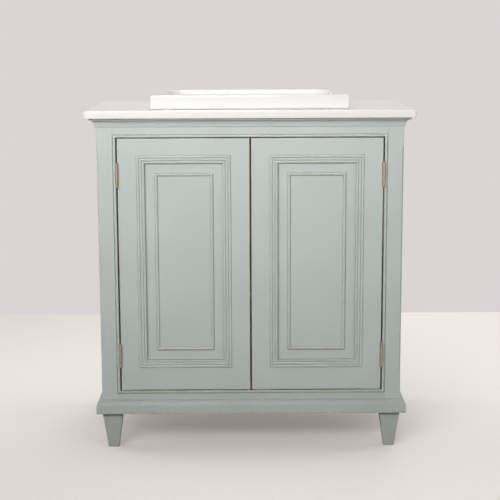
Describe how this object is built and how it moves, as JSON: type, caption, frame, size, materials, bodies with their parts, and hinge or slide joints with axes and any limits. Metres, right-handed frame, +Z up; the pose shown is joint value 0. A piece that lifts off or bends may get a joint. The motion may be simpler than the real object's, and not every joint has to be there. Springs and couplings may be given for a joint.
{
  "type": "vanity unit",
  "caption": "Painted in-frame vanity cabinet on tapered legs, with panelled doors on butt hinges, a stone worktop and an inset rectangular ceramic basin with a tap ledge.",
  "frame": {"origin": "on the floor, midway across the width and depth of the worktop", "axes": "+Z up, +Y towards the wall behind, +X to the right of someone who faces the doors"},
  "size_m": [0.85, 0.49, 0.9425],
  "materials": {
    "paint": "satin sage-green paint on timber",
    "inside_paint": "thin matt paint on board",
    "stone": "polished pale quartz",
    "ceramic": "white glaze",
    "sealant": "tooled sealant",
    "chrome": "polished",
    "brass": "satin",
    "nylon": "moulded"
  },
  "bodies": {
    "carcass": {"base_board": "inside_paint", "leg_front_left": "paint", "leg_front_right": "paint", "leg_rear_left": "paint", "leg_rear_right": "paint", "cabinet_floor": "inside_paint", "shelf": "inside_paint", "rear_top_rail": "inside_paint", "back_panel": "inside_paint", "left_side_panel": "paint", "right_side_panel": "paint", "frame_stile_left": "paint", "frame_stile_right": "paint", "frame_rail_top": "paint", "frame_rail_bottom": "paint", "opening_bead_left": "paint", "opening_bead_right": "paint", "opening_bead_top": "paint", "opening_bead_bottom": "paint", "cornice_front": "paint", "cornice_left": "paint", "cornice_right": "paint", "plinth_front": "paint", "plinth_left": "paint", "plinth_right": "paint", "worktop": "stone", "basin_seal": "sealant", "basin": "ceramic", "waste_body": "chrome", "waste_nut": "brass", "latch_housing": "nylon", "hinge_frame_leaf_upper_left": "brass", "hinge_frame_leaf_lower_left": "brass", "hinge_frame_leaf_upper_right": "brass", "hinge_frame_leaf_lower_right": "brass", "hinge_pin_upper_left": "brass", "hinge_pin_lower_left": "brass", "hinge_pin_upper_right": "brass", "hinge_pin_lower_right": "brass"},
    "left_door": {"door_left_hinge_stile": "paint", "door_left_meeting_stile": "paint", "door_left_top_rail": "paint", "door_left_bottom_rail": "paint", "door_left_panel": "paint", "door_left_panel_moulding": "paint", "door_left_panel_bead": "paint", "hinge_door_leaf_upper_left": "brass", "hinge_door_leaf_lower_left": "brass"},
    "right_door": {"door_right_hinge_stile": "paint", "door_right_meeting_stile": "paint", "door_right_top_rail": "paint", "door_right_bottom_rail": "paint", "door_right_panel": "paint", "door_right_panel_moulding": "paint", "door_right_panel_bead": "paint", "hinge_door_leaf_upper_right": "brass", "hinge_door_leaf_lower_right": "brass"},
    "left_plunger": {"latch_plunger_left": "chrome"},
    "right_plunger": {"latch_plunger_right": "chrome"},
    "plug": {"waste_plug": "chrome"}
  },
  "joints": [
    {"name": "left_door_hinge", "type": "hinge", "parent": "carcass", "child": "left_door", "pos_m": [-0.3468, -0.2222, 0.4975], "axis": [0, 0, -1], "range_deg": [0, 170]},
    {"name": "right_door_hinge", "type": "hinge", "parent": "carcass", "child": "right_door", "pos_m": [0.3468, -0.2222, 0.4975], "axis": [0, 0, 1], "range_deg": [0, 170]},
    {"name": "left_plunger_slide", "type": "slide", "parent": "carcass", "child": "left_plunger", "axis": [0, 1, 0], "range_m": [0, 0.004], "stiffness_N_per_m": 300, "springref_m": -0.004},
    {"name": "right_plunger_slide", "type": "slide", "parent": "carcass", "child": "right_plunger", "axis": [0, 1, 0], "range_m": [0, 0.004], "stiffness_N_per_m": 300, "springref_m": -0.004},
    {"name": "plug_lift", "type": "slide", "parent": "carcass", "child": "plug", "axis": [0, 0, 1], "range_m": [0, 0.009]}
  ]
}
